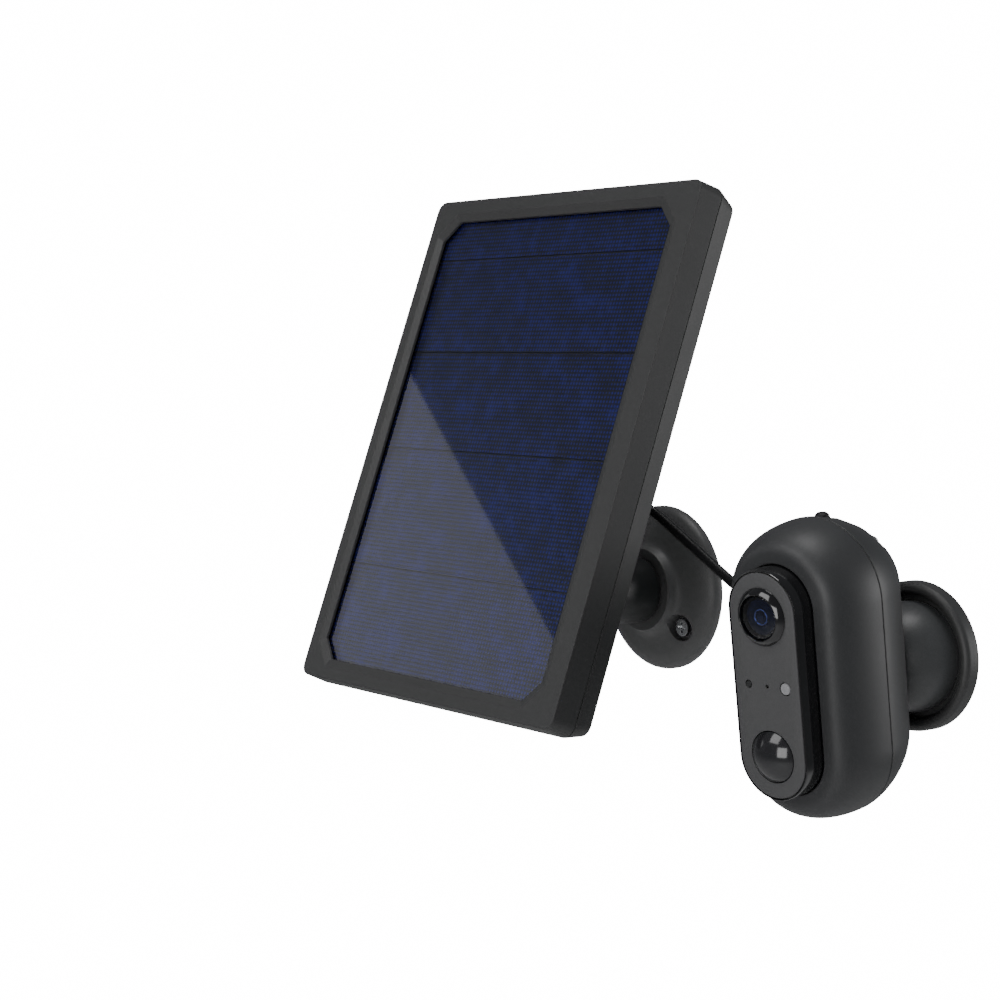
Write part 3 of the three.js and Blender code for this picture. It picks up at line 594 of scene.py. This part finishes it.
def makeMotionWindow():
    low, high = localBox("motion_lens", bodyFrame)
    place = bodyFrame @ Matrix.Translation((0, 0, (low.z + high.z) / 2))
    cap, wall, steps, rise = motion["radius"], motion["wall"], motion["steps"], face - low.y
    ball = (cap ** 2 + rise ** 2) / (2 * rise)
    half = math.degrees(math.asin(cap / ball))
    outer = []
    for i in range(steps + 1):
        angle = math.radians(half * i / steps)
        outer.append((ball * math.sin(angle), low.y + ball * (1 - math.cos(angle))))
    profile = outer + [(cap, face + motion["depth"]), (cap - wall, face + motion["depth"]),
                       (cap - wall, face + 0.0004)]
    profile += [(x * motion["hollow"], y + wall) for x, y in outer[::-1]]
    finishPiece("motion_window", turnProfile(profile), motionPlastic, "camera", ["motion_lens"], place)


def makeLightWindow():
    low, high = localBox("status_light", bodyFrame)
    place = bodyFrame @ Matrix.Translation(((low.x + high.x) / 2, 0, (low.z + high.z) / 2))
    profile = [(0, low.y), (0.0015, low.y), (0.0017, low.y + 0.0001), (0.0018, low.y + 0.0003),
               (0.0018, high.y), (0, high.y)]
    finishPiece("light_window", turnProfile(profile, 48), lightPlastic, "camera", ["status_light"],
                place)


# wall bracket: every piece is turned about the arm's axis
bracketAxis = Matrix.Translation((joints["arm_turn"]["pos_m"][0], 0, joints["arm_turn"]["pos_m"][2]))
bracketBase = {"screwHead": 0.0049, "screwDepth": -0.0044, "screwShank": 0.0023, "slope": (
    (0.0303, -0.0018), (0.0301, -0.0026), (0.0297, -0.0033), (0.0291, -0.004), (0.0284, -0.0046),
    (0.0273, -0.0053), (0.026, -0.006), (0.0245, -0.0066), (0.0228, -0.0071), (0.021, -0.0076),
    (0.0194, -0.0081), (0.018, -0.0086), (0.0169, -0.0093), (0.0162, -0.0101), (0.0157, -0.0112),
    (0.0153, -0.0126), (0.0151, -0.013))}  # from the rim in to the collar


def makeBracketBase():
    profile = [(0.01, -0.0033), (0.0133, -0.0033), (0.0133, 0), (0.0301, 0), (0.0303, -0.0002)]
    profile += [*bracketBase["slope"], (0.01, -0.013), (0.01, -0.0033)]
    # the base wears the lightened plastic, painted light over its shade
    base = finishPiece("bracket_base", turnProfile(profile, 128), wallPlasticPaintedLight, "wall", ["wall_base"],
                       bracketAxis)
    tools = []
    for i in (1, 2):
        x, _, z = middleOf(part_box(f"wall_screw_{i}"))
        tools += [makeCylinderTool(bracketBase["screwHead"], -0.014, bracketBase["screwDepth"], (x, 0, z)),
                  makeCylinderTool(bracketBase["screwShank"], -0.006, 0.001, (x, 0, z))]
    carve(base, tools)


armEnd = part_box("bracket_arm")[0].y
socketRadius = 0.0083


def makeArm():
    profile = [(0, -0.0008), (0.013, -0.0008), (0.013, -0.003), (0.0097, -0.003), (0.0097, -0.0133),
               (0.0112, -0.0133), (0.0117, -0.0136), (0.012, -0.0144), (0.012, armEnd + 0.011),
               (0.0117, armEnd + 0.0002), (0.0116, armEnd)]
    start = math.degrees(math.asin((ballCentre.y - armEnd) / socketRadius))
    for a in [start + (-90 - start) * i / 16 for i in range(17)]:
        profile.append((socketRadius * math.cos(math.radians(a)),
                        ballCentre.y - socketRadius * math.sin(math.radians(a))))
    finishPiece("swivel_arm", turnProfile(profile), darkPlastic, "arm", ["bracket_arm"], bracketAxis)


# clamp ring with grip grooves
grip = {"grooves": 18, "radius": 0.0011, "ring": 0.0146}


def makeSocketRing():
    low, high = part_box("clamp_ring")
    profile = [(0.0123, high.y), (0.0137, high.y), (0.014, high.y - 0.0003), (0.014, low.y + 0.0004),
               (0.0136, low.y), (0.0076, low.y), (0.0079, armEnd - 0.0003), (0.0123, armEnd - 0.0003),
               (0.0123, high.y)]
    clamp = finishPiece("socket_ring", turnProfile(profile), darkPlastic, "clamp", ["clamp_ring"],
                        bracketAxis)
    joined = None
    for i in range(grip["grooves"]):
        turn = 2 * math.pi * i / grip["grooves"]
        groove = makeCylinderTool(grip["radius"], low.y + 0.0018, high.y - 0.001,
                                  (grip["ring"] * math.cos(turn), 0, grip["ring"] * math.sin(turn)))
        if joined is None:
            joined = groove
            continue
        mesh = bpy.data.meshes.new("groove")
        groove.to_mesh(mesh)
        groove.free()
        joined.from_mesh(mesh)
        bpy.data.meshes.remove(mesh)
    carve(clamp, [joined])


# ball stud: most of a ball, its neck and a threaded end
pin = {"ball": 0.008, "collar": 0.004, "shank": 0.0031, "tip": 0.0027, "collarEnd": -0.015}


def makeBallPin():
    end = localBox("ball_stud", panelFrame)[0].y
    neck = math.degrees(math.asin(pin["collar"] / pin["ball"]))
    profile = []
    for a in [(180 - neck) * i / 30 for i in range(31)]:
        profile.append((pin["ball"] * math.sin(math.radians(a)), pin["ball"] * math.cos(math.radians(a))))
    profile += [(pin["collar"], -0.0148), (0.0038, pin["collarEnd"]), (pin["shank"], pin["collarEnd"]),
                (pin["shank"], end + 0.0004), (pin["tip"], end), (0, end)]
    finishPiece("ball_pin", turnProfile(profile, 64), steelSkin, "ball", ["ball_stud"], panelFrame)


# camera mount: a dished plate with a rolled rim, and the dome that the camera's magnet holds
mount = {"radius": 0.0244, "rim": 0.0019, "floor": -0.0018, "post": 0.003, "screw": 0.0019,
         "dome": 0.018, "domeWall": 0.0012}
mountAxis = Matrix.Translation((domeCentre.x, 0, domeCentre.z))


def makeMountPlate():
    r, rim, floor, post = mount["radius"], mount["rim"], mount["floor"], mount["post"]
    profile = [(0, 0), (r - 0.0003, 0), (r, -0.0003), (r, -0.0038)]
    for a in range(6, 175, 12):
        profile.append((r - rim + rim * math.cos(math.radians(a)), -0.004 - 0.002 * math.sin(math.radians(a))))
    profile += [(r - 0.0042, -0.0032), (r - 0.0044, -0.0021), (r - 0.0048, floor), (post, floor),
                (post, domeCentre.y - 0.016), (0, domeCentre.y - 0.016)]
    plate = finishPiece("mount_plate", turnProfile(profile, 128), housingPlastic, "wall",
                        ["mount_base"], mountAxis)
    tools = []
    for i in (1, 2):
        x, _, z = middleOf(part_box(f"mount_screw_{i}"))
        tools.append(makeCylinderTool(mount["screw"], -0.004, 0.001, (x, 0, z)))
    carve(plate, tools)


def domeLine(radius, rimY, steps):
    edge = math.degrees(math.acos((domeCentre.y - rimY) / radius))
    return [(radius * math.sin(math.radians(edge * i / steps)),
             domeCentre.y - radius * math.cos(math.radians(edge * i / steps))) for i in range(steps + 1)]


def makeMountDome():
    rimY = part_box("steel_dome")[1].y
    profile = domeLine(mount["dome"], rimY, 36) + domeLine(mount["dome"] - mount["domeWall"], rimY, 24)[::-1]
    finishPiece("mount_dome", turnProfile(profile), domeSkin, "dome", ["steel_dome"], mountAxis)


makeFrontShell()
makeRearShell()
makeFace()
makeLens()
makeMotionWindow()
makeLightWindow()
print("camera body")
makeBracketBase()
makeArm()
makeSocketRing()
makeBallPin()
makeMountPlate()
makeMountDome()
print("bracket and camera mount")


# solar cells: a fine printed grid over dark blue wafers
cells = {"pitch": 0.0015, "tilt": 20, "weave": 0.9, "cloud": 1.1, "cloudScale": 110, "gridHeight": 0.00002,
         "dark": (0.0015, 0.0018, 0.005, 1), "blue": (0.014, 0.018, 0.15, 1), "span": (0.05, 0.75),
         "roughness": 0.35}


def makeStripes(tree, place):
    wave = makeMath(tree, "SINE", makeMath(tree, "MULTIPLY", place, 2 * math.pi / cells["pitch"]))
    return makeMath(tree, "MULTIPLY_ADD", wave, 0.5, 0.5)


def makeCellMaterial():
    material, tree, shader = newMaterial("solarCell")
    place = tree.nodes.new("ShaderNodeTexCoord")
    split = tree.nodes.new("ShaderNodeSeparateXYZ")
    link(tree, place.outputs["Object"], split.inputs[0])
    slant = makeMath(tree, "MULTIPLY", split.outputs["Z"], 1 / math.cos(math.radians(cells["tilt"])))
    weave = makeMath(tree, "MULTIPLY", makeStripes(tree, split.outputs["X"]), makeStripes(tree, slant))
    cloud = makeMath(tree, "SUBTRACT", makeNoise(tree, cells["cloudScale"], 3, 0.7), 0.5)
    tone = makeMath(tree, "ADD", makeMath(tree, "MULTIPLY", weave, cells["weave"]),
                    makeMath(tree, "MULTIPLY", cloud, cells["cloud"]))
    ramp = tree.nodes.new("ShaderNodeValToRGB")
    for stop, position, colour in zip(ramp.color_ramp.elements, cells["span"], (cells["dark"], cells["blue"])):
        stop.position = position
        stop.color = colour
    link(tree, tone, ramp.inputs["Fac"])
    link(tree, ramp.outputs["Color"], shader.inputs["Base Color"])
    shader.inputs["Roughness"].default_value = cells["roughness"]
    bump = tree.nodes.new("ShaderNodeBump")
    bump.inputs["Distance"].default_value = cells["gridHeight"]
    link(tree, weave, bump.inputs["Height"])
    link(tree, bump.outputs["Normal"], shader.inputs["Normal"])
    return material


# finishes of the pieces that keep their own mesh
kept = {
    housingPlastic: ("panel_frame", "back_cover"),
    panelGlass: ("cover_glass",),
    darkPlastic: ("back_sheet", "lock_nut", "light_sensor", "lens_barrel", "speaker", "button_switch",
                  "coil_tie"),
    rubberSkin: ("panel_seal", "cable_gland", "card_flap", "shell_seal", "top_button", "lead_plug"),
    brassSkin: ("thread_insert",),
    boardSkin: ("charge_board", "sensor_board", "main_board"),
    steelSkin: ("seat_magnet", "microphone", "motion_sensor", "usb_port"),
    batterySkin: ("battery_1", "battery_2")}


def finishKept():
    finishes = {name: material for material, names in kept.items() for name in names}
    cellSkin = makeCellMaterial()
    for name, node in frame["nodes"].items():
        material = finishes.get(name)
        if name.startswith("solar_cell"):
            material = cellSkin
        elif "screw" in name:
            material = steelSkin
        if material is not None:
            for place in node.material_slots:
                place.material = material


finishKept()
print("finishes")


# a pale card whose mirror image covers the lower left of the panel's glass up to a slanting line
card = {"edge": ((0.0079, 0.1195), (0.1348, 0.0279)), "corner": (0.01, 0.01), "reach": 1.3, "power": 0.6,
        "longer": 1.8, "deeper": 1.6}
panelCorner = localBox("panel_frame", panelFrame)[0]
glassFront = localBox("cover_glass", panelFrame)[0].y


def mirrorSpot(across, up):
    spot = panelFrame @ Vector((panelCorner.x + across, glassFront, panelCorner.z + up))
    out = (panelFrame.to_3x3() @ Vector((0, -1, 0))).normalized()
    ray = (spot - bpy.context.scene.camera.location).normalized()
    return spot + card["reach"] * (ray - 2 * ray.dot(out) * out)


def makeCard():
    first, second = [mirrorSpot(*spot) for spot in card["edge"]]
    along = (second - first).normalized()
    inward = mirrorSpot(*card["corner"]) - first
    inward = inward - inward.dot(along) * along
    depth = inward.length * card["deeper"]
    inward.normalize()
    length = (second - first).length * card["longer"]
    facing = along.cross(inward)
    middle = (first + second) / 2 + inward * depth / 2
    if facing.dot(middle) < 0:
        along, facing = -along, -facing
    light = makeAreaLight("card", (length, depth), card["power"])
    turn = Matrix((along, inward, facing)).transposed()
    light.matrix_world = Matrix.Translation(middle) @ turn.to_4x4()


# pale floor well under the part, white to the camera like the backdrop
floorSizes = {"height": -0.75, "half": 6, "colour": (0.8, 0.8, 0.8, 1), "roughness": 0.8}


def makeFloor():
    bm = bmesh.new()
    bmesh.ops.create_grid(bm, x_segments=1, y_segments=1, size=floorSizes["half"],
                          matrix=Matrix.Translation((0, 0, floorSizes["height"])))
    mesh = bpy.data.meshes.new("floor")
    bm.to_mesh(mesh)
    bm.free()
    floor = bpy.data.objects.new("floor", mesh)
    bpy.context.collection.objects.link(floor)
    material, tree, shader = newMaterial("floorPaint")
    shader.inputs["Base Color"].default_value = floorSizes["colour"]
    shader.inputs["Roughness"].default_value = floorSizes["roughness"]
    white = tree.nodes.new("ShaderNodeEmission")
    white.inputs["Strength"].default_value = studio["backdrop"]
    path = tree.nodes.new("ShaderNodeLightPath")
    mix = tree.nodes.new("ShaderNodeMixShader")
    link(tree, path.outputs["Is Camera Ray"], mix.inputs["Fac"])
    link(tree, shader.outputs[0], mix.inputs[1])
    link(tree, white.outputs[0], mix.inputs[2])
    link(tree, mix.outputs[0], tree.nodes["Material Output"].inputs["Surface"])
    mesh.materials.append(material)


makeWorld()
makeSoftBoxes()
makeCard()
makeFloor()
print("studio")
